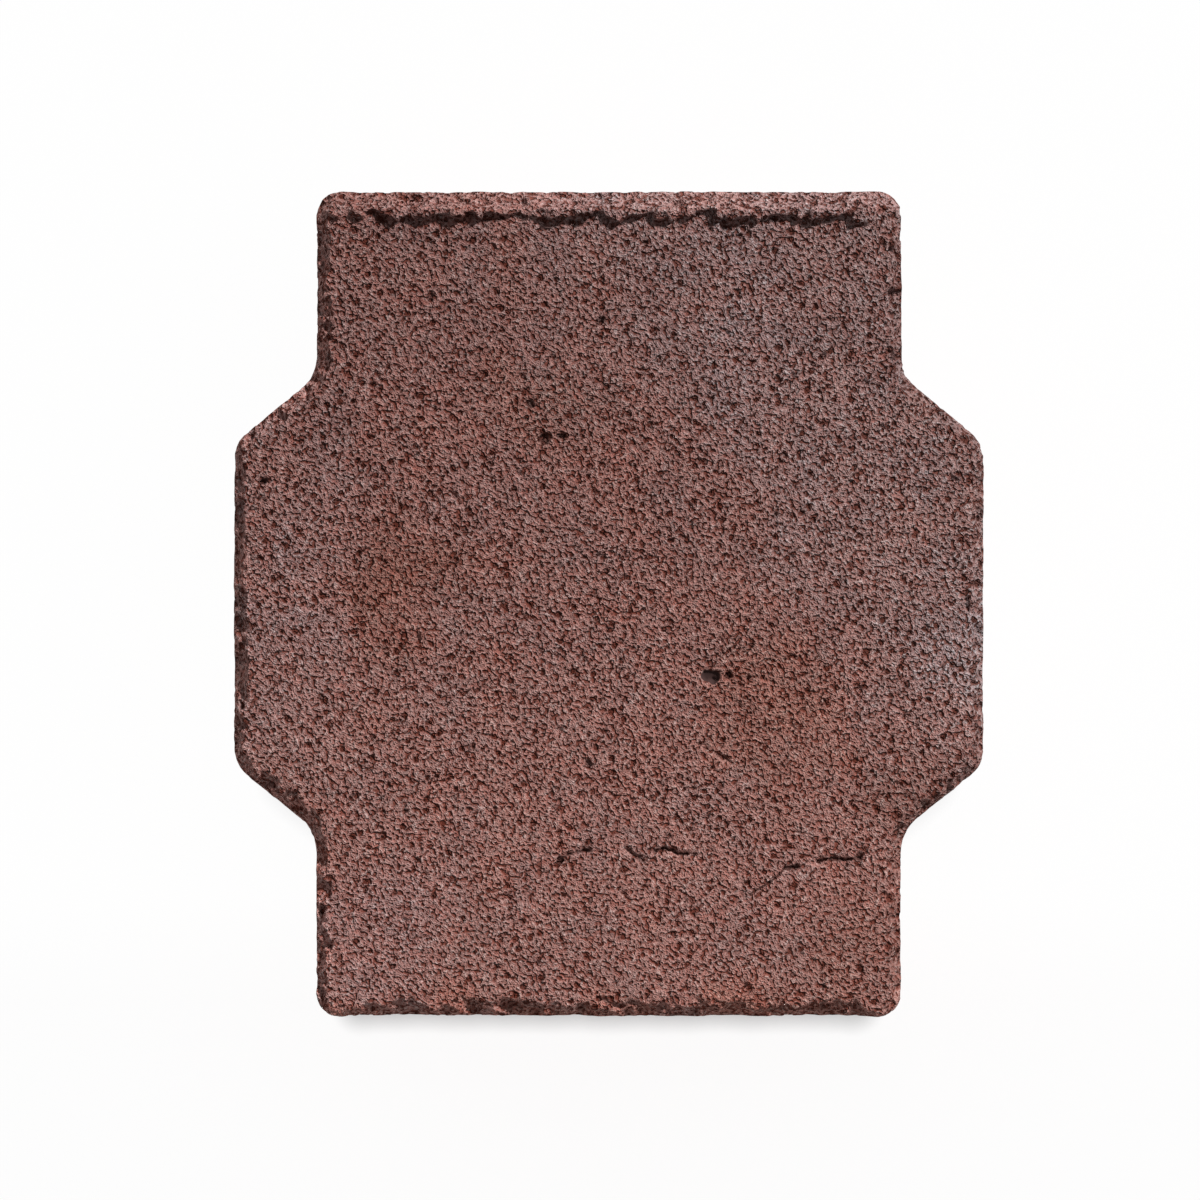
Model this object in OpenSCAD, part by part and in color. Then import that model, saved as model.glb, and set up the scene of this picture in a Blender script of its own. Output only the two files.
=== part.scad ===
// Cross-shaped concrete paving stone: a broad middle with a narrower end on either side, so that
// stones laid half a length apart lock into each other. It lies on its bed at z = 0, with the
// wearing face up and the length along y.

/* [Plan] */
// Length over the two narrow ends
length = 220; // [200:1:250]
// Width across the broad middle
middle_width = 200; // [185:1:230]
// Width across the narrow ends
end_width = 156; // [130:1:165]
// Straight run of each side of the middle, measured between its sharp corners
middle_run = 86; // [70:1:95]
// Distance along the length over which a side steps in from the middle to an end
step_run = 18; // [14:0.5:24]

/* [Plan corners] */
// Radius of the four corners of the ends
end_radius = 6; // [5:0.5:10]
// Radius of the four outer corners of the middle
shoulder_radius = 9; // [6:0.5:14]
// Radius of the four hollow corners between the middle and the ends
hollow_radius = 12; // [6:0.5:16]

/* [Section] */
// Thickness from the bed to the wearing face
thickness = 80; // [50:1:120]
// Width of the chamfer round the wearing face, seen from above
chamfer_width = 4; // [2:0.25:4.5]
// Depth of that chamfer down the side
chamfer_depth = 4; // [2:0.25:8]

/* [Pressed lip] */
// Height of the lip above the wearing face, along one end
lip_height = 1.6; // [0.8:0.1:3]
// Width of the flat crest of the lip
lip_crest = 0.6; // [0.3:0.1:2]
// Run of the slopes that lead from the crest down to the face
lip_run = 1.4; // [0.8:0.1:4]
// Distance kept between the lip and each corner radius of its end
lip_margin = 2; // [1:0.5:10]

/* [Hidden] */

// Flats that make up each corner arc
arc_steps = 6;
// Depth to which the lip is rooted in the stone
lap = 1;
chamfer_slope = chamfer_depth / chamfer_width;
hollow_y = middle_run / 2 + step_run;

// Sharp corners of the right-hand side from the lower end up: [x, y, radius], with the radius
// below zero where the corner is hollow
right_side = [
    [end_width / 2, -length / 2, end_radius],
    [end_width / 2, -hollow_y, -hollow_radius],
    [middle_width / 2, -middle_run / 2, shoulder_radius],
    [middle_width / 2, middle_run / 2, shoulder_radius],
    [end_width / 2, hollow_y, -hollow_radius],
    [end_width / 2, length / 2, end_radius]
];
left_side = [for (i = [len(right_side) - 1 : -1 : 0]) [-right_side[i].x, right_side[i].y, right_side[i].z]];
corners = concat(right_side, left_side);
corner_count = len(corners);

function corner(i) = let (c = corners[(i + corner_count) % corner_count]) [c.x, c.y];
function radius(i) = corners[i].z;
function along(angle) = [cos(angle), sin(angle)];
// Direction of the edge from one corner to the next, and the turn between the two edges at a corner
function heading(i) = let (e = corner(i + 1) - corner(i)) atan2(e.y, e.x);
function turn(i) = let (t = heading(i) - heading(i - 1)) t > 180 ? t - 360 : t < -180 ? t + 360 : t;
// Centre of the arc that rounds a corner
function centre(i) =
    corner(i)
    - abs(radius(i) * tan(turn(i) / 2)) * along(heading(i - 1))
    + radius(i) * along(heading(i - 1) + 90);

// The outline drawn in by an inset, at a height: the arcs keep their centres, and the straight
// edges run from the end of one arc to the start of the next
function ring(inset, z) = [
    for (i = [0 : corner_count - 1], k = [0 : arc_steps])
        let (p = centre(i) + (radius(i) - inset) * along(heading(i - 1) - 90 + turn(i) * k / arc_steps))
            [p.x, p.y, z]
];

// Solid through a stack of rings. A ring starts at the middle of the lower end and is symmetrical,
// so the bed and the face are ladders of flats between points that mirror each other.
module stack(rings) {
    count = len(rings[0]);
    top = (len(rings) - 1) * count;
    rungs = [0 : count / 2 - 2];
    polyhedron(
        points = [for (r = rings) each r],
        faces = concat(
            [for (k = rungs) [k, k + 1, count - 2 - k, count - 1 - k]],
            [for (k = rungs) [top + count - 1 - k, top + count - 2 - k, top + k + 1, top + k]],
            [
                for (r = [0 : len(rings) - 2], k = [0 : count - 1])
                    let (low = r * count, next = (k + 1) % count)
                        [low + k, low + count + k, low + count + next, low + next]
            ]
        )
    );
}

module chamfered_stone() {
    stack([
        ring(0, 0),
        ring(0, thickness - chamfer_depth),
        ring(chamfer_width, thickness)
    ]);
}

// Lip that the press leaves on the +y end: its outer slope carries the chamfer on upward
module lip() {
    foot = length / 2 - chamfer_width;
    crest_out = foot - lip_height / chamfer_slope;
    crest_in = crest_out - lip_crest;
    half = end_width / 2 - end_radius - lip_margin;
    intersection() {
        rotate([90, 0, 90])
            linear_extrude(2 * half, center = true)
                polygon([
                    [foot, thickness],
                    [crest_out, thickness + lip_height],
                    [crest_in, thickness + lip_height],
                    [crest_in - lip_run, thickness],
                    [crest_in - lip_run, thickness - lap],
                    [foot, thickness - lap]
                ]);
        rotate([90, 0, 0])
            linear_extrude(2 * length, center = true)
                polygon([
                    [-half, thickness - lap],
                    [half, thickness - lap],
                    [half, thickness],
                    [half - lip_run, thickness + lip_height],
                    [lip_run - half, thickness + lip_height],
                    [-half, thickness]
                ]);
    }
}

module paving_stone() {
    color([0.51, 0.35, 0.33]) {
        chamfered_stone();
        lip();
    }
}

paving_stone();
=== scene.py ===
# %% [markdown]
# A pressed concrete paving stone, seen square on from above its wearing face.
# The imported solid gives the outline, the chamfer and the lip. This lesson gives it the surface that
# the press leaves: an open, gritty skin full of pores, with crumbled edges, a crack and a few ledges.
# The steps are: load the solid, set up the camera and the light, make a dense copy of the solid, move
# its points to carve the relief, thin it to a sensible count, and colour it with one material.

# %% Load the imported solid
import math
import bmesh
import bpy
import numpy as np
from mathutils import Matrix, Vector


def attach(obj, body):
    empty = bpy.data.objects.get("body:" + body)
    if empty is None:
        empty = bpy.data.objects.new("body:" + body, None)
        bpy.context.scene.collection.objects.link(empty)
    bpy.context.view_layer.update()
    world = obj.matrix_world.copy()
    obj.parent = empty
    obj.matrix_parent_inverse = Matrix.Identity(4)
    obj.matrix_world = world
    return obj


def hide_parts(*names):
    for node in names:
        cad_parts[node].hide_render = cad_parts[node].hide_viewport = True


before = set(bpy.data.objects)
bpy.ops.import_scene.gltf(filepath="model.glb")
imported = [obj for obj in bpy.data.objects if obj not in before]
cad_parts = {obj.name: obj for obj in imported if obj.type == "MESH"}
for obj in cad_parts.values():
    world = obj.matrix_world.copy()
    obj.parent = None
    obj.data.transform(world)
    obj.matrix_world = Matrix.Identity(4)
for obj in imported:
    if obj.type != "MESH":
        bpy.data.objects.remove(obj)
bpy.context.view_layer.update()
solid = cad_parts["paving_stone"]
scene = bpy.context.scene

# %% [markdown]
# A few sizes of the solid are needed again and again. They are kept in millimetres, as a maker would say
# them, and only turned into Blender's metres where a point or an object is placed.

# %% Sizes of the stone in mm
half_length = 110.0
face_z = 80.0
chamfer_drop = 4.0
print("wearing face at", face_z, "mm, half length", half_length, "mm")

# %% [markdown]
# The picture is taken square on. A stone of this kind lies on its bed, so the camera hangs above it and
# looks straight down, with the lip towards the top of the picture. A long lens keeps the upright sides
# hidden below the wearing face. The distance follows from the frame's width at the face and the lens.

# %% Camera above the wearing face
picture_px = 1200
stone_length_px = 823.5
mm_per_px = 2 * half_length / stone_length_px
stone_middle_px = (608.7, 603.9)


def from_picture(x, y):
    """The place on the face, in mm, that a place in the picture shows."""
    return np.array([(x - stone_middle_px[0]) * mm_per_px, (stone_middle_px[1] - y) * mm_per_px])


camera_data = bpy.data.cameras.new("overhead_camera")
camera_data.lens = 100
camera_data.sensor_width = 36
reach = picture_px * mm_per_px * camera_data.lens / camera_data.sensor_width
camera = bpy.data.objects.new("overhead_camera", camera_data)
camera_xy = from_picture(picture_px / 2, picture_px / 2)
camera.location = Vector((*camera_xy, face_z - chamfer_drop + reach)) / 1000
scene.collection.objects.link(camera)
scene.camera = camera
print("camera height in mm:", round(camera.location.z * 1000))

# %% [markdown]
# Relief shows only in raking light. One low sun from the upper right draws every pore, and a weak even
# sky fills the shadows. Together they give a level face about the light at which a colour renders as it
# is written. The sun reaches only the stone. A second, steep sun lights only the floor, so the floor
# shows a short soft shadow below the stone and not a long hard one.

# %% Lamps and sky
scene.view_settings.view_transform = "Standard"
sky_share = 0.2
level_light = (1 - sky_share) * math.pi
raking_side, raking_height, raking_softness = math.radians(42), math.radians(34), math.radians(7)
floor_height, floor_softness = math.radians(81), math.radians(5)


def aim_sun(name, azimuth, height, strength, softness):
    """A sun that shines from an azimuth, clockwise from the lip's end, and a height above the floor."""
    data = bpy.data.lights.new(name, "SUN")
    data.energy = strength
    data.angle = softness
    lamp = bpy.data.objects.new(name, data)
    level = math.cos(height)
    towards = Vector((math.sin(azimuth) * level, math.cos(azimuth) * level, math.sin(height)))
    lamp.rotation_euler = towards.to_track_quat("Z", "Y").to_euler()
    scene.collection.objects.link(lamp)
    return lamp


raking_strength = level_light / math.sin(raking_height)
raking_sun = aim_sun("raking_sun", raking_side, raking_height, raking_strength, raking_softness)
floor_sun = aim_sun("floor_sun", 0, floor_height, level_light, floor_softness)

world = bpy.data.worlds.new("even_sky")
world.use_nodes = True
sky = world.node_tree.nodes["Background"]
sky.inputs["Color"].default_value = (1, 1, 1, 1)
sky.inputs["Strength"].default_value = sky_share
scene.world = world
print("sun strengths:", round(raking_sun.data.energy, 2), round(floor_sun.data.energy, 2))

# %% [markdown]
# The floor is a plain white sheet. To the camera it is partly a flat white and partly its own lit colour,
# so that the stone's soft shadow still shows on it. The flat share is larger beside the stone than below
# its lower end, because the shadow belongs mainly there.

# %% White floor
floor_half_width = 6
floor_gap = 0.0002
floor_mesh = bpy.data.meshes.new("floor")
floor_bm = bmesh.new()
bmesh.ops.create_grid(floor_bm, x_segments=1, y_segments=1, size=floor_half_width)
floor_bm.to_mesh(floor_mesh)
floor_bm.free()
floor = bpy.data.objects.new("floor", floor_mesh)
floor.location.z = -floor_gap
scene.collection.objects.link(floor)
print("floor below the bed by mm:", round(floor_gap * 1000, 2))

# %% Floor material
white = bpy.data.materials.new("white_floor")
white.use_nodes = True
floor_tree = white.node_tree
floor_tree.nodes.clear()
lit_white = floor_tree.nodes.new("ShaderNodeBsdfDiffuse")
lit_white.inputs["Color"].default_value = (0.98, 0.98, 0.98, 1)
flat_white = floor_tree.nodes.new("ShaderNodeEmission")
ray = floor_tree.nodes.new("ShaderNodeLightPath")
direct, seen, flat_share = (floor_tree.nodes.new("ShaderNodeMath") for _ in range(3))
direct.operation = seen.operation = "MAXIMUM"
flat_share.operation = "MULTIPLY"
floor_place = floor_tree.nodes.new("ShaderNodeNewGeometry")
floor_axes = floor_tree.nodes.new("ShaderNodeSeparateXYZ")
whiteness = floor_tree.nodes.new("ShaderNodeMapRange")
for key, value in (("From Min", -0.115), ("From Max", -0.085), ("To Min", 0.5), ("To Max", 0.85)):
    whiteness.inputs[key].default_value = value
floor_mix = floor_tree.nodes.new("ShaderNodeMixShader")
floor_out = floor_tree.nodes.new("ShaderNodeOutputMaterial")
for source, target in (
    (ray.outputs["Is Camera Ray"], direct.inputs[0]),
    (ray.outputs["Is Glossy Ray"], direct.inputs[1]),
    (direct.outputs[0], seen.inputs[0]),
    (ray.outputs["Is Transmission Ray"], seen.inputs[1]),
    (floor_place.outputs["Position"], floor_axes.inputs[0]),
    (floor_axes.outputs["Y"], whiteness.inputs["Value"]),
    (seen.outputs[0], flat_share.inputs[0]),
    (whiteness.outputs["Result"], flat_share.inputs[1]),
    (flat_share.outputs[0], floor_mix.inputs["Fac"]),
    (lit_white.outputs[0], floor_mix.inputs[1]),
    (flat_white.outputs[0], floor_mix.inputs[2]),
    (floor_mix.outputs[0], floor_out.inputs["Surface"]),
):
    floor_tree.links.new(source, target)
floor_mesh.materials.append(white)
print("nodes in the floor:", len(floor_tree.nodes))

# %% [markdown]
# The relief needs points to move. The solid's mesh is loose triangles as large as its faces, so a copy
# of it is merged and then remeshed into even small squares. Remeshing keeps the outline, the chamfer and
# the lip, and it softens their edges a little, as pressing does. The rim of the bed is kept as a list of
# short lines, because the distance from it tells later how far in from the outline a point lies.

# %% Merged copy of the solid
stone_mesh = solid.data.copy()
stone_mesh.name = "stone_skin"
stone_bm = bmesh.new()
stone_bm.from_mesh(stone_mesh)
bmesh.ops.remove_doubles(stone_bm, verts=stone_bm.verts, dist=1e-6)
stone_bm.normal_update()
bed_rim = [
    e for e in stone_bm.edges
    if max(v.co.z for v in e.verts) < 1e-6 and len(e.link_faces) == 2
    and sum(abs(f.normal.z) > 0.9 for f in e.link_faces) == 1
]
rim = np.array([[(v.co.x, v.co.y) for v in e.verts] for e in bed_rim]) * 1000
rim_start, rim_run = rim[:, 0], rim[:, 1] - rim[:, 0]
stone_bm.to_mesh(stone_mesh)
stone_bm.free()
stone = bpy.data.objects.new("stone_skin", stone_mesh)
scene.collection.objects.link(stone)
rim_length = float(np.linalg.norm(rim_run, axis=1).sum())
print("rim edges:", len(rim), "rim length in mm:", round(rim_length))


# %% Dense, even squares
def bake_modifiers(thing):
    """Puts the result of a piece's modifiers into its mesh."""
    graph = bpy.context.evaluated_depsgraph_get()
    baked = bpy.data.meshes.new_from_object(thing.evaluated_get(graph))
    thing.modifiers.clear()
    old = thing.data
    thing.data = baked
    bpy.data.meshes.remove(old)


square_side = 0.0005
remesh = stone.modifiers.new("even_squares", "REMESH")
remesh.mode = "VOXEL"
remesh.voxel_size = square_side
bake_modifiers(stone)
count = len(stone.data.vertices)
print("points to carve:", count)

# %% [markdown]
# Two kinds of texture make the relief. A soft noise gives swells and lumps: random values on a grid,
# blended smoothly in between. A pore field scatters hidden bubbles through space, and wherever one cuts
# the skin it leaves a pit with a sharp rim. Both come from a fixed shuffle of whole numbers, so every run
# gives the same stone.


# %% Noise and pores
def shuffled(cell, seed):
    """A fixed random value from 0 to 1 for each whole-numbered cell."""
    c = cell.astype(np.int64)
    h = c[..., 0] * 374761393 + c[..., 1] * 668265263 + c[..., 2] * 2246822519 + seed * 3266489917
    h = h & 0xFFFFFFFF
    h = ((h ^ (h >> 15)) * 2246822519) & 0xFFFFFFFF
    h = ((h ^ (h >> 13)) * 3266489917) & 0xFFFFFFFF
    return ((h ^ (h >> 16)) & 0xFFFFFF) / 0xFFFFFF


def soft_noise(points, size, seed):
    """Smooth noise from -1 to 1 with lumps of the given size in mm, on a grid turned by the seed."""
    turn, lean = math.cos(0.4 + seed), math.sin(0.4 + seed)
    p = (points @ np.array([[turn, lean, 0], [-lean, turn, 0], [0, 0, 1]])) / np.asarray(size, float)
    base = np.floor(p)
    t = p - base
    t = t * t * (3 - 2 * t)
    total = np.zeros(len(p))
    for corner in np.ndindex(2, 2, 2):
        weight = np.prod(np.where(corner, t, 1 - t), axis=1)
        total += weight * shuffled(base + corner, seed)
    return 2 * total - 1


def pores(points, spacing, small, large, share, seed):
    """Depth of the pores from 0 to about 1 times their radius, for bubbles of the given radii in mm."""
    base = np.floor(points / spacing)
    depth = np.zeros(len(points))
    for step in np.ndindex(3, 3, 3):
        cell = base + np.array(step) - 1
        middle = np.stack([shuffled(cell, seed + k) for k in (1, 2, 3)], axis=1)
        gap = np.linalg.norm(points - (cell + middle) * spacing, axis=1)
        radius = small + (large - small) * shuffled(cell, seed + 4) ** 2
        bowl = np.sqrt(np.clip(1 - (gap / radius) ** 2, 0, 1)) * radius
        depth = np.maximum(depth, np.where(shuffled(cell, seed + 5) < share, bowl, 0))
    return depth


def fade(value, start, end):
    """0 at start, 1 at end, smooth in between."""
    t = np.clip((value - start) / (end - start), 0, 1)
    return t * t * (3 - 2 * t)


# %% [markdown]
# The face, the sides and the bed of a real paver look different, so each point needs to know where it
# lies. Its height tells the face from the sides and the bed. The distance in plan from the rim tells how
# far in from the outline it is, which the chamfer and the crumbled edges need.


# %% Where each point lies
def read_points(key):
    """One row of three numbers for each point of the mesh."""
    values = np.empty(count * 3, np.float32)
    stone.data.vertices.foreach_get(key, values)
    return values.reshape(-1, 3).astype(float)


point = read_points("co") * 1000
normal = read_points("normal")
plan = point[:, :2]
plan_x, plan_y = point[:, 0], point[:, 1]
flat = point * (1, 1, 0)


def line_distance(places, a, run):
    """Distance of places in plan from a straight line that starts at a and runs on by run."""
    t = np.clip(((places - a) @ run) / (run @ run), 0, 1)
    return np.linalg.norm(places - a - t[:, None] * run, axis=1)


inset = np.full(count, 1e9)
for a, run in zip(rim_start, rim_run):
    inset = np.minimum(inset, line_distance(plan, a, run))
from_end = half_length - plan_y
on_top = fade(point[:, 2], face_z - 7, face_z - 4.5)
on_bed = 1 - fade(point[:, 2], 0.2, 2.5)
on_side = (1 - on_top) * (1 - on_bed)
near_edge = 1 - fade(inset, 4.0, 7.0)
print("points on top:", int((on_top > 0.5).sum()), "on the sides:", int((on_side > 0.5).sum()))

# %% [markdown]
# The wearing face is built up from coarse to fine: slow swells, lumps of grit, and two sizes of pores.
# The places are bent a little by noise first, so that no pore is a perfect circle. Along the edges the
# pores are larger, because there the grit has less to hold on to.

# %% Relief of the wearing face
bent = point + 0.35 * np.stack([soft_noise(point, 1.4, k) for k in (11, 12, 13)], axis=1)
swell = 0.16 * soft_noise(point, 34, 21) + 0.10 * soft_noise(point, 11, 22)
grit = 0.06 * soft_noise(point, 3.2, 23) + 0.05 * soft_noise(point, 1.5, 24)
fine_pores = pores(bent, spacing=2.3, small=0.6, large=1.2, share=0.9, seed=100)
open_pores = pores(bent, spacing=6.5, small=0.8, large=1.5, share=0.8, seed=200)
edge_pores = pores(bent, spacing=5.5, small=0.9, large=1.9, share=0.9, seed=300) * on_top * near_edge
face_relief = swell + grit - 0.25 * fine_pores - 0.5 * open_pores - 0.6 * edge_pores
print("face relief in mm:", round(float(face_relief.min()), 2), "to", round(float(face_relief.max()), 2))

# %% [markdown]
# Every stone has marks of its own. This one has a crack that opens into a groove near the lower end, a
# few ledges where a flake has come away, single pits, two chips on its left edge, and a squarish pit
# whose smooth floor the material paints dark grey as shade. Each is given by its places in the picture,
# with a width and a depth in mm, and noise lets their sides wander. Only the crack is drawn straight,
# because its thin dark line, painted shade, is added by the material along the same corners.

# %% Places of the marks
crack_line = [(752, 891), (768, 882), (777, 875), (785, 866)]
open_grooves = (
    ([(784, 866), (796, 865)], 0.8, 1.0),
    ([(817, 860), (836, 858), (860, 857)], 0.65, 1.0),
)
flaked_ledges = (
    ([(560, 857), (570, 852), (584, 850), (602, 852)], 0.7, 1.3),
    ([(624, 847), (634, 853), (642, 860)], 0.7, 1.2),
    ([(652, 850), (668, 848), (682, 852), (694, 855)], 0.7, 1.3),
    ([(699, 743), (712, 750), (727, 760)], 0.9, 1.0),
    ([(262, 483), (275, 482)], 0.8, 1.5),
    ([(255, 499), (267, 500)], 0.8, 1.4),
)
single_pits = (
    (728, 675, 1.2, 1.0), (747, 677, 0.9, 0.8), (588, 762, 1.5, 0.8),
    (530, 405, 1.4, 0.9), (543, 440, 1.6, 0.9), (561, 859, 1.4, 1.1),
    (432, 298, 1.2, 0.8), (600, 322, 1.2, 0.8), (560, 437, 1.0, 0.8),
)
bare_pit = ((708, 675, 2.0, 1.0), (712, 677, 2.0, 1.0))
print("grooves and ledges:", 1 + len(open_grooves) + len(flaked_ledges), "pits:", len(single_pits) + 1)

# %% Marks that this one stone carries
crack_width, crack_depth = 0.5, 0.45
wander = 0.45 * np.stack([soft_noise(flat, 2.6, 31), soft_noise(flat, 2.6, 32)], axis=1)
wander += 0.25 * np.stack([soft_noise(flat, 1.1, 33), soft_noise(flat, 1.1, 34)], axis=1)
ragged_plan = plan + wander


def groove(places, corners, width, depth):
    """Depth of a groove along a line of picture places."""
    corners = [from_picture(*c) for c in corners]
    gap = np.full(count, 1e9)
    for a, b in zip(corners, corners[1:]):
        gap = np.minimum(gap, line_distance(places, a, b - a))
    return depth * (1 - fade(gap, 0.5 * width, 1.15 * width))


def hole(x, y, radius, depth):
    """Depth of a rounded hole at a picture place."""
    gap = np.linalg.norm(ragged_plan - from_picture(x, y), axis=1)
    return depth * (1 - fade(gap, 0.7 * radius, 1.1 * radius))


broken = 0.55 + 0.45 * soft_noise(flat, 1.8, 35)
marks = groove(plan, crack_line, crack_width, crack_depth)
for mark in open_grooves:
    marks = np.maximum(marks, groove(ragged_plan, *mark))
for mark in flaked_ledges:
    marks = np.maximum(marks, groove(ragged_plan, *mark) * broken)
for mark in single_pits:
    marks = np.maximum(marks, hole(*mark))
bare = np.maximum(*(hole(*mark) for mark in bare_pit))
print("deepest mark in mm:", round(float(marks.max()), 2))

# %% [markdown]
# Edges suffer most when a stone is pushed out of its mould and stacked. The upper edge of the chamfer
# wanders in and out, most of all along the lower end, and on the lower left side the chamfer is narrow.
# It is set as a height over the plan: the chamfer's slope, shifted by noise.

# %% Ragged chamfer
ragged = 1.1 * soft_noise(flat, 3.4, 71) + 0.9 * soft_noise(flat, 1.6, 72)
lower_left = (1 - fade(plan_x, -84, -70)) * (1 - fade(plan_y, -66, -56))
lower_end = 1 - fade(plan_y, -104, -98)
ragged += 2.2 * lower_left
ragged += 0.5 * fade(plan_x, 60, 70)
ragged += lower_end * (1.7 * soft_noise(flat, 8, 79) + 0.9 * soft_noise(flat, 3.4, 80))
chamfer = np.minimum(face_z, face_z - chamfer_drop + inset + ragged)
print("chamfer edge wanders in mm:", round(float(ragged.min()), 1), "to", round(float(ragged.max()), 1))

# %% [markdown]
# The lip is a row of torn lumps rather than a moulding. It too is drawn as a height over the plan: lumpy
# along its crest, ragged on its inner side, broken at its left end and fading out towards the right.

# %% Torn lip
torn = from_end + 1.3 * soft_noise(flat, 6.5, 73)
torn += 1.1 * soft_noise(flat, 2.8, 74) + 0.8 * soft_noise(flat, 1.4, 78)
lowest_lump, mean_lump, highest_lump = 0.4, 1.9, 2.8
lumps = mean_lump + 0.8 * soft_noise(flat, 2.6, 75) + 0.7 * soft_noise(flat, 12, 76)
lumps = np.clip(lumps, lowest_lump, highest_lump)
ends = fade(plan_x, -77, -72) * (1 - fade(plan_x, 66, 76))
ends *= 1 - 0.6 * fade(-plan_x, 62, 66) * fade(soft_noise(flat, 3.5, 77), -0.3, 0.3)
lip = lumps * ends * fade(from_end, 3.0, 5.4) * (1 - fade(torn, 6.6, 7.6))
on_face = (point[:, 2] > face_z - 6) & (inset > 0.3)
below_face = ragged * fade(point[:, 2], face_z - 7, face_z - chamfer_drop)
rise = np.where(on_face, chamfer + lip - point[:, 2], below_face)
print("lip stands in mm:", round(float(lip.max()), 2))

# %% [markdown]
# The sides are drawn past the mould as the stone is pushed out, so they carry faint upright streaks and
# scattered pores and are otherwise plain. The bed stays flat, because the stone stands on it.

# %% Carve the skin
streaks = 0.07 * soft_noise(point, (1.3, 1.3, 16), 61) + 0.10 * soft_noise(point, (4, 4, 9), 62)
side_pores = pores(bent, spacing=5.5, small=0.5, large=1.5, share=0.55, seed=400)
side_relief = streaks - 0.75 * side_pores - 0.1
relief = on_top * (face_relief - marks - bare) + on_side * side_relief
deepest, proudest = -3.0, 0.25
relief = np.clip(relief, deepest, proudest) * (1 - on_bed)
moved = point + normal * relief[:, None]
moved[:, 2] = np.maximum(moved[:, 2] + rise, 0)
stone.data.vertices.foreach_set("co", (moved / 1000).astype(np.float32).ravel())
print("mean relief in mm:", round(float(relief.mean()), 3))

# %% [markdown]
# Pigment and cement are never mixed quite evenly, and lime blooms on the surface, so the stone has broad
# redder, greyer and darker patches. A redder band along the lower end's chamfer is painted warm bounce
# light, and the face is made darker towards its lip end. All of these are so broad that one tint on each
# point of the mesh holds them, which renders faster than working them out in the material. Each patch
# multiplies the tint by a shade close to white, and noise sways the places first, so that the borders are
# uneven.

# %% Broad patches
sway = 9 * np.stack([soft_noise(point, 14, k) for k in (91, 92)], axis=1)
sway += 4.5 * np.stack([soft_noise(point, 7, k) for k in (93, 94)], axis=1)
swayed = plan + sway


def patch(x, y, half_x, half_y):
    """A soft-edged patch round a place on the face, in mm."""
    return 1 - fade(np.linalg.norm((swayed - (x, y)) / (half_x, half_y), axis=1), 0.2, 1.2)


tint_and_painted_light = np.ones((count, 3))
for spread, shade in (
    (fade(swayed @ (0.8, 0.6), 30, 66), (1.05, 1.20, 1.26)),
    (patch(-86, -2, 22, 55), (1.02, 1.11, 1.16)),
    (patch(-60, -88, 26, 30), (1.02, 1.05, 1.08)),
    (patch(100, -12, 18, 30), (1.10, 1.30, 1.38)),
    (patch(-56, 4, 18, 22), (0.86, 0.76, 0.70)),
    (patch(-16, 54, 24, 16), (0.95, 0.93, 0.90)),
    (patch(43, -27, 30, 25), (0.95, 0.88, 0.83)),
    (patch(80, -54, 16, 14), (0.82, 0.82, 0.81)),
    (patch(66, -94, 26, 20), (0.90, 0.88, 0.86)),
    # Painted warm bounce light: a redder band along the lower end's chamfer.
    (patch(0, -112, 90, 9), (1.0, 0.89, 0.83)),
    (patch(34, 68, 18, 34), (1.04, 1.08, 1.10)),
    (patch(-46, 56, 26, 30), (1.03, 0.98, 0.96)),
    (fade(soft_noise(point, 8, 95), -0.4, 0.4), (0.94, 0.98, 1.0)),
    (fade(soft_noise(point, 6, 96), 0.4, -0.4), (1.05, 1.01, 0.99)),
    # The face is made darker towards its lip end.
    (fade(plan_y, -80, 110), (0.80, 0.82, 0.84)),
):
    tint_and_painted_light *= 1 + spread[:, None] * (np.array(shade) - 1)
print("mean tint:", tint_and_painted_light.mean(axis=0).round(3))

# %% [markdown]
# The edges carry painted light and shade. The chamfers on the left and at the lower end face away from
# the sun and are painted paler, as if lit, and the right-hand chamfer, which faces the sun, is painted
# darker. The lip band is painted paler as well, as a lit crest.
# The material also needs to know where the marks are hollow, where the pit is bare, where the skin is
# coarser and where its pits are more open. All of this is stored on the points as named values.

# %% Values for the material
pitted = 0.12 * np.clip(1.7 * soft_noise(point, 17, 97), -1, 1) - 0.08 * (1 - fade(plan_y, -110, 60))
coarse = on_top * np.maximum(1 - fade(from_end, 6.5, 11), near_edge * fade(plan_x, 20, 60))
left = 1 - fade(plan_x, -72, -60)
low = 1 - fade(plan_y, -106, -98)
right = fade(plan_x, 60, 72) * (1 - low) * (1 - fade(plan_y, 96, 104))
# Painted light and shade on the chamfers: paler on the left and at the lower end, which face away from
# the sun, darker on the right, which faces it.
painted_edge_light_and_shade = np.maximum(0.22 * left, 0.1 * low) + 0.25 * left * fade(plan_y, 50, 62) - 0.2 * right
painted_edge_light_and_shade = painted_edge_light_and_shade * (1 - fade(inset, 2.5, 5.0)) * (from_end > 6)
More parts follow.
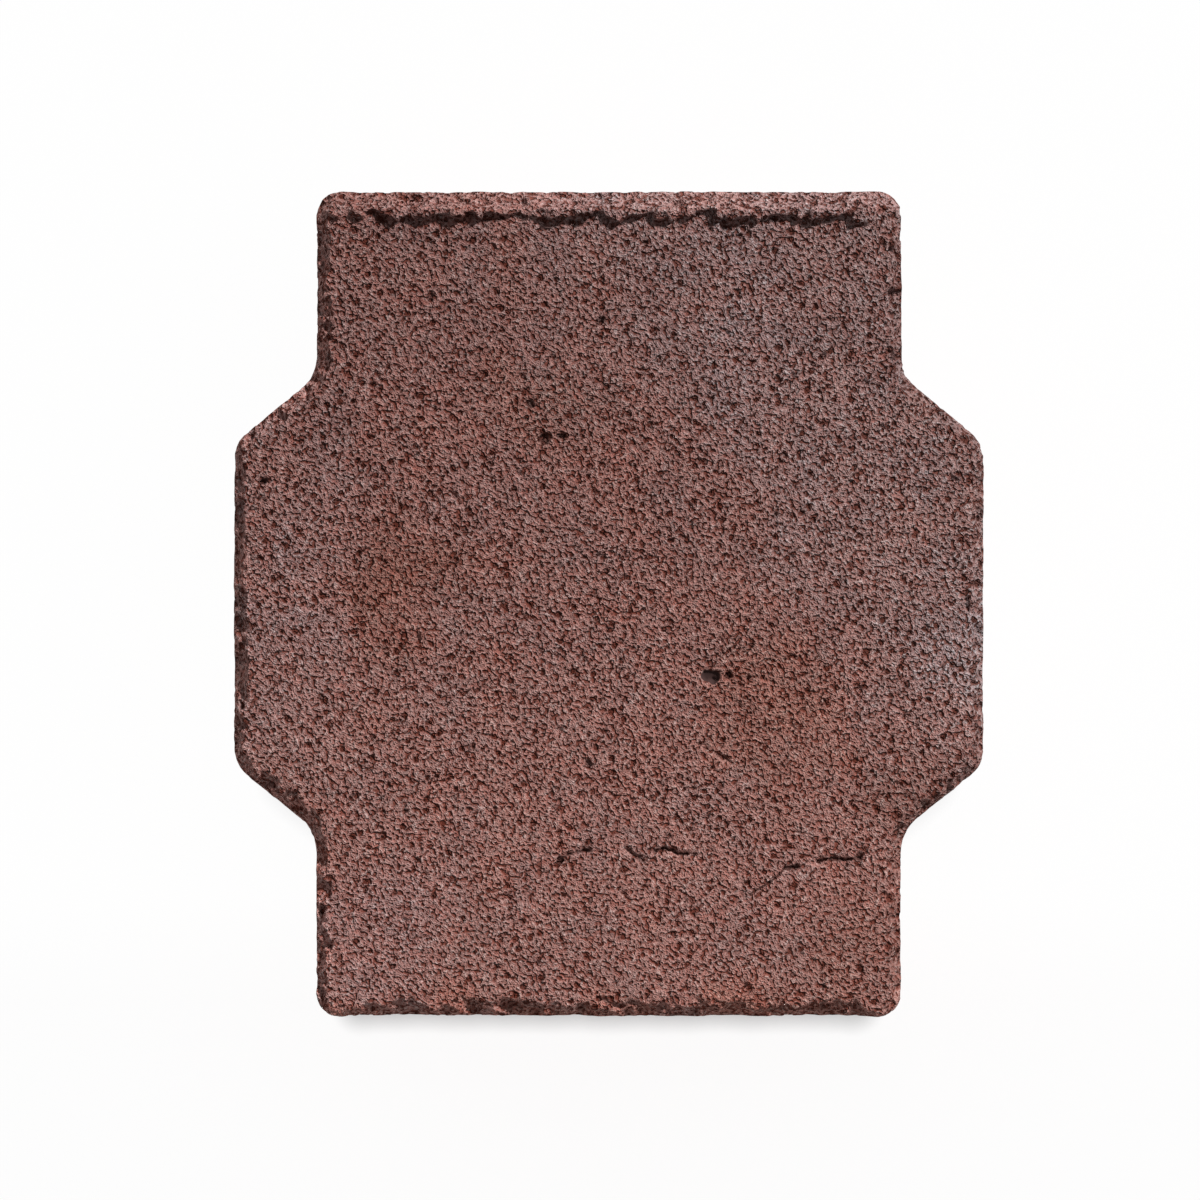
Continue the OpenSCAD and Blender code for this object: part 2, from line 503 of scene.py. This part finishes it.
# Painted light on the lip band, as on a lit crest, weaker towards its left end.
painted_lip_light = (0.08 + 0.2 * fade(plan_x, -70, -30)) * (1 - fade(from_end, 5.0, 6.5))
tint_and_painted_light *= 1 + (on_top * (painted_edge_light_and_shade + painted_lip_light))[:, None]
stored_values = {"hollow": marks * on_top, "bare": bare * on_top, "coarse": coarse, "pitted": pitted}
for name, value in stored_values.items():
    layer = stone.data.attributes.new(name, "FLOAT", "POINT")
    layer.data.foreach_set("value", np.clip(value, -1, 1).astype(np.float32))
layer = stone.data.attributes.new("tint_and_painted_light", "FLOAT_VECTOR", "POINT")
layer.data.foreach_set("vector", tint_and_painted_light.astype(np.float32).ravel())
stone.data.update()
print("values on each point:", [*stored_values, "tint_and_painted_light"])

# %% [markdown]
# The dense mesh has far more points than the flat places need. Decimating joins points wherever the
# shape hardly changes, so the bed and the smooth sides end up coarse and the pores keep their rims.


# %% Thin the mesh
def triangle_count():
    return sum(len(p.vertices) - 2 for p in stone.data.polygons)


most_triangles = 192000
dense_triangles = triangle_count()
thin = stone.modifiers.new("fewer_points", "DECIMATE")
thin.ratio = min(1, most_triangles / dense_triangles)
bake_modifiers(stone)
stone.data.shade_smooth()
print("triangles:", dense_triangles, "->", triangle_count())

# %% [markdown]
# The concrete is coloured through and through with red-brown pigment. Seen close it is grains of brown,
# red and grey, with dark pores and a few pale chips of stone. Seen from afar it has broad cooler and
# redder patches, which are already on the points. The rest is procedural and reads the stone's own
# coordinates in millimetres. A few short helpers keep the node setup readable: most of them make one
# node and give back its output.

# %% Helpers for the concrete
concrete = bpy.data.materials.new("red_brown_concrete")
concrete.use_nodes = True
nt = concrete.node_tree
shader = nt.nodes["Principled BSDF"]


def put(socket, value):
    """Links an output to a socket, or sets a plain value on it."""
    if isinstance(value, bpy.types.NodeSocket):
        nt.links.new(value, socket)
    else:
        socket.default_value = value


def node(kind, ins=None, **settings):
    made = nt.nodes.new(kind)
    for key, value in settings.items():
        setattr(made, key, value)
    for key, value in (ins or {}).items():
        put(made.inputs[key], value)
    return made


def calc(operation, a, b):
    return node("ShaderNodeMath", {0: a, 1: b}, operation=operation).outputs[0]


def plus(a, b):
    return calc("ADD", a, b)


def minus(a, b):
    return calc("SUBTRACT", a, b)


def times(a, b):
    return calc("MULTIPLY", a, b)


def larger(a, b):
    return calc("MAXIMUM", a, b)


def vector(operation, ins, out=0):
    return node("ShaderNodeVectorMath", ins, operation=operation).outputs[out]


def ramp(value, low, high, to_low=0.0, to_high=1.0):
    ins = {"Value": value, "From Min": low, "From Max": high, "To Min": to_low, "To Max": to_high}
    return node("ShaderNodeMapRange", ins, interpolation_type="SMOOTHSTEP").outputs["Result"]


def blend(share, a, b, mode="MIX"):
    ins = {0: share, 6: a, 7: b}
    return node("ShaderNodeMix", ins, data_type="RGBA", blend_type=mode).outputs[2]


def stored(name, out="Fac"):
    return node("ShaderNodeAttribute", attribute_name=name).outputs[out]


print("nodes to start with:", len(nt.nodes))

# %% [markdown]
# Three sets of coordinates are used. The first is the stone's own, in millimetres. The second is turned
# askew, so that the grid inside a noise texture never lines up with the face. The third is warped by
# about a millimetre, which makes curls of what would be straight.

# %% Coordinates in millimetres
place = node("ShaderNodeTexCoord").outputs["Object"]
mm = vector("SCALE", {0: place, "Scale": 1000.0})
turned = {"Vector": mm, "Rotation": (0.5, 0.7, 0.9)}
askew = node("ShaderNodeVectorRotate", turned, rotation_type="EULER_XYZ").outputs[0]
up = node("ShaderNodeSeparateXYZ", {0: mm}).outputs["Y"]
warp_size = warp_reach = 1.2
warp = node("ShaderNodeTexNoise", {"Vector": askew, "Scale": 1 / warp_size, "Detail": 1.0})
curly = vector("MULTIPLY_ADD", {0: warp.outputs["Color"], 1: (warp_reach,) * 3, 2: askew})


def noise(size, detail=2.0, rough=0.5):
    """Noise from 0 to 1 with lumps of about the given size in mm."""
    ins = {"Vector": askew, "Scale": 1 / size, "Detail": detail, "Roughness": rough}
    return node("ShaderNodeTexNoise", ins).outputs["Fac"]


print("nodes so far:", len(nt.nodes))

# %% [markdown]
# The crack is far thinner than a triangle, so its dark line, painted shade in the gap, is drawn by the
# material along the same corners as the shallow groove in the mesh. The line is the distance from each of
# its straight runs, and the smallest of these counts. Heights are nearly left out, so the crack also
# shows in its groove.

# %% Crack
flattened = 0.05
near_face = vector("MULTIPLY", {0: mm, 1: (1, 1, flattened)})


def line_gap(a, b):
    """Distance in mm from a straight line between two picture places on the face."""
    start, end = from_picture(*a), from_picture(*b)
    run = Vector((*(end - start), 0))
    away = vector("SUBTRACT", {0: near_face, 1: (*start, face_z * flattened)})
    share = vector("DOT_PRODUCT", {0: away, 1: run / run.length_squared}, "Value")
    share = node("ShaderNodeClamp", {"Value": share}).outputs[0]
    along_line = vector("SCALE", {0: run, "Scale": share})
    return vector("LENGTH", {0: vector("SUBTRACT", {0: away, 1: along_line})}, "Value")


crack_gap = line_gap(*crack_line[:2])
for a, b in zip(crack_line[1:], crack_line[2:]):
    crack_gap = calc("MINIMUM", crack_gap, line_gap(a, b))
# Painted shade: the dark line in the crack.
crack = ramp(crack_gap, 0.42, 0.16)
print("runs of the crack:", len(crack_line) - 1)

# %% [markdown]
# The skin's fine pattern has curls of cement with narrow pits between them, larger pits packed like
# a sponge, and grains. All of them add up to one height, and this height sets both the bump and much of
# the colour: low places get a painted deep red for light bounced between red walls, and high ones get
# pale grit and painted highlight. The sponge is Voronoi cells on warped coordinates. Only some cells are
# open, and there are more of them in some zones than in others.


# %% Pits, curls and grains
def sponge(spacing, low, high):
    """Pits packed side by side: 0 at the bottom of a pit, 1 on the ridges and on the closed cells."""
    cells = node("ShaderNodeTexVoronoi", {"Vector": curly, "Scale": 1 / spacing})
    open_cell = ramp(plus(cells.outputs["Color"], pitted_at), low, high, 0.1, 1.0)
    pit = ramp(cells.outputs["Distance"], 0.42, 0.22)
    return minus(1.0, times(pit, open_cell))


pitted_at = stored("pitted")
curl = noise(0.95, 0.3)
curl_pits = ramp(curl, 0.31, 0.47)
curl_walls = times(ramp(curl, 0.42, 0.49), ramp(curl, 0.62, 0.52))
grain = noise(0.8, 1.0, 0.6)
middle_pits = sponge(2.4, 0.5, 0.68)
coarse_pits = times(minus(1.0, sponge(3.6, 0.3, 0.6)), stored("coarse"))
height = plus(times(curl, 0.6), times(curl_pits, 0.5))
for part, share in ((grain, 0.45), (middle_pits, 0.8), (coarse_pits, -0.7), (curl_walls, 0.15)):
    height = plus(height, times(part, share))
print("nodes with the pattern:", len(nt.nodes))

# %% [markdown]
# The colours are laid one over another: a ground of two close browns, a painted deep red in the low
# places that stands for light bounced between red walls, pale grit and painted highlight on the high
# ones, and painted shadow, near black, on the floors of the pits and in the marks and the crack. The bare
# pit has painted shade of its own, a dark grey. The tint of the points comes last, so that it reaches
# every grain.

# %% Grain colours
ground_brown, ground_grey = (0.332, 0.125, 0.100, 1), (0.294, 0.126, 0.105, 1)
painted_bounce_red, pale_grit_and_highlight = (0.222, 0.054, 0.032, 1), (0.575, 0.405, 0.372, 1)
pit_shadow_dark, hollow_shade_dark = (0.075, 0.012, 0.005, 1), (0.050, 0.017, 0.013, 1)
big_pit_shade = (0.062, 0.035, 0.033, 1)

bare_at = stored("bare")
# Painted shadow: the floors of the pits are darkened where their rims would shade them.
painted_pit_shadow = larger(times(ramp(curl_pits, 0.7, 0.1), 0.5), times(ramp(middle_pits, 0.6, 0.2), 0.75))
painted_pit_shadow = larger(painted_pit_shadow, times(ramp(coarse_pits, 0.5, 0.9), 0.55))
chips = times(ramp(grain, 0.5, 0.66), ramp(noise(2.2, 1.0), 0.40, 0.60))
# Painted highlight on the high places, together with pale chips of grit scattered at random.
painted_highlight_and_chips = larger(times(ramp(height, 1.80, 2.08), 0.6), chips)
# Painted shade in the marks and in the crack.
hollow = larger(times(ramp(stored("hollow"), 0.35, 0.95), 0.8), times(crack, 0.85))

colour = blend(ramp(noise(3.0), 0.35, 0.65), ground_brown, ground_grey)
# Painted bounce light: the low places are redder, as if lit by light bounced between red walls.
colour = blend(times(ramp(height, 1.78, 1.25), 0.5), colour, painted_bounce_red)
colour = blend(times(painted_highlight_and_chips, 0.75), colour, pale_grit_and_highlight)
colour = blend(painted_pit_shadow, colour, pit_shadow_dark)
colour = blend(hollow, colour, hollow_shade_dark)
# Painted shade: the big pit's smooth floor is dark grey.
colour = blend(ramp(bare_at, 0.25, 0.6), colour, big_pit_shade)
colour = blend(1.0, colour, stored("tint_and_painted_light", "Vector"), "MULTIPLY")
print("nodes in the concrete:", len(nt.nodes))

# %% [markdown]
# The same height drives the bump. The bare pit is smooth, so it has none, and the lower end, where the
# skin is closer, has a little less. Dry concrete is matt all over, so its roughness and its weak gloss
# are plain values on the shader.

# %% Bump and finish
bump_depth = 0.0022
bump_strength = times(minus(1.0, ramp(bare_at, 0.2, 0.6)), ramp(up, -100, 30, 0.86, 1.0))
bump = node("ShaderNodeBump", {"Height": height, "Strength": bump_strength, "Distance": bump_depth})
put(shader.inputs["Normal"], bump.outputs["Normal"])
put(shader.inputs["Base Color"], colour)
put(shader.inputs["Roughness"], 0.95)
put(shader.inputs["Specular IOR Level"], 0.08)
stone.data.materials.clear()
stone.data.materials.append(concrete)
print("material on the stone:", stone.data.materials[0].name)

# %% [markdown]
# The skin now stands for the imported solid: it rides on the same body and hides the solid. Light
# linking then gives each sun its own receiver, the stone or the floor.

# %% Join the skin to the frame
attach(stone, "root")
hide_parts("paving_stone")

for lamp, receiver in ((raking_sun, stone), (floor_sun, floor)):
    lit = bpy.data.collections.new("lit_by_" + lamp.name)
    lit.objects.link(receiver)
    lamp.light_linking.receiver_collection = lit
print("suns linked:", raking_sun.name, floor_sun.name)
